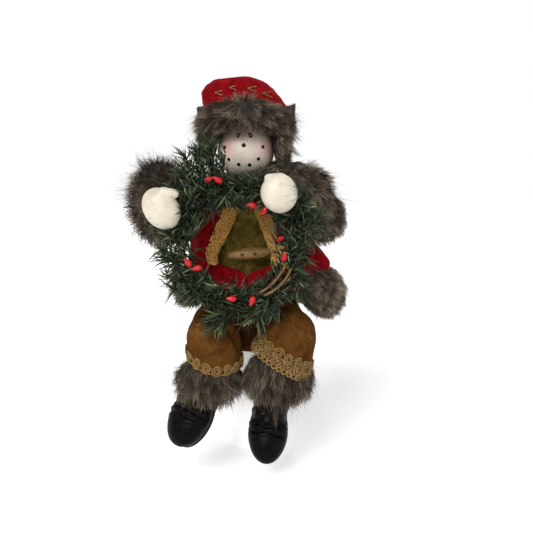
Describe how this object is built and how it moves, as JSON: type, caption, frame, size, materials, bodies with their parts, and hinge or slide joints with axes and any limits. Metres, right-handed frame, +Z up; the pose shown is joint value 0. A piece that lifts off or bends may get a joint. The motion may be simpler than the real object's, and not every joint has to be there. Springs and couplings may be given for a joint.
{
  "type": "sitting snowman doll",
  "caption": "Soft-bodied snowman doll with a painted wooden head, fur-trimmed winter clothes and a berry wreath, made to sit on a ledge with hanging legs.",
  "frame": {"origin": "a point on the flat underside of the weighted seat, under the neck", "axes": "+Z up, the figure faces -Y, +X is the figure's own left"},
  "size_m": [0.1535, 0.1291, 0.2679],
  "materials": {
    "suede": "brushed brown suede cloth",
    "pellets": "loose plastic pellets in a bag",
    "stuffing": "white fibre fill",
    "vest_felt": "olive felt",
    "velvet": "dark red velvet",
    "bare_wood": "bare turned birch",
    "gimp": "old gold cord braid",
    "fur": "grey-brown long-pile faux fur",
    "toggle_wood": "pale waxed wood",
    "painted_wood": "satin off-white paint on wood",
    "black_felt": "black felt",
    "wire": "plain steel wire",
    "greenery": "dark green shredded needle garland",
    "berry": "lacquered red berries",
    "vine": "bare brown twig",
    "vinyl": "soft black vinyl",
    "sole": "black moulded sole"
  },
  "bodies": {
    "root": {"trouser_seat": "suede", "pellet_bag": "pellets", "seat_stuffing": "stuffing", "torso_body": "stuffing", "vest": "vest_felt", "coat_body": "velvet", "neck_dowel": "bare_wood", "coat_braid_right": "gimp", "coat_braid_left": "gimp", "coat_hem_fur": "fur", "collar_fur": "fur", "toggle_button": "toggle_wood", "thigh_right": "suede", "thigh_left": "suede"},
    "head": {"head_ball": "painted_wood", "cap_lining": "black_felt", "cap_crown": "velvet", "cap_stuffing": "stuffing", "cap_brim_fur": "fur", "cap_back_flap": "black_felt", "ear_flap_right": "fur", "ear_flap_left": "fur"},
    "arms": {"arm_wire": "wire", "sleeve_right": "fur", "sleeve_left": "fur", "cuff_fur_right": "fur", "cuff_fur_left": "fur", "mitten_right": "painted_wood", "mitten_left": "painted_wood", "wreath_core": "wire", "wreath_greenery": "greenery", "wreath_berries": "berry", "wreath_twigs": "vine"},
    "leg_right": {"trouser_leg_right": "suede", "hem_braid_right": "gimp", "boot_fur_right": "fur", "leg_tube_right": "stuffing", "boot_upper_right": "vinyl", "boot_sole_right": "sole", "boot_heel_right": "sole"},
    "leg_left": {"trouser_leg_left": "suede", "hem_braid_left": "gimp", "boot_fur_left": "fur", "leg_tube_left": "stuffing", "boot_upper_left": "vinyl", "boot_sole_left": "sole", "boot_heel_left": "sole"}
  },
  "joints": [
    {"name": "head_turn", "type": "hinge", "parent": "root", "child": "head", "pos_m": [0, -0.001, 0.1475], "axis": [0, 0, 1], "range_deg": [-25, 25]},
    {"name": "arms_lift", "type": "hinge", "parent": "root", "child": "arms", "pos_m": [0, 0.001, 0.114], "axis": [-1, 0, 0], "range_deg": [0, 20]},
    {"name": "knee_right", "type": "hinge", "parent": "root", "child": "leg_right", "pos_m": [-0.0215, -0.045, 0.02], "axis": [-1, 0, 0], "range_deg": [0, 70]},
    {"name": "knee_left", "type": "hinge", "parent": "root", "child": "leg_left", "pos_m": [0.027, -0.045, 0.02], "axis": [-1, 0, 0], "range_deg": [0, 70]}
  ]
}
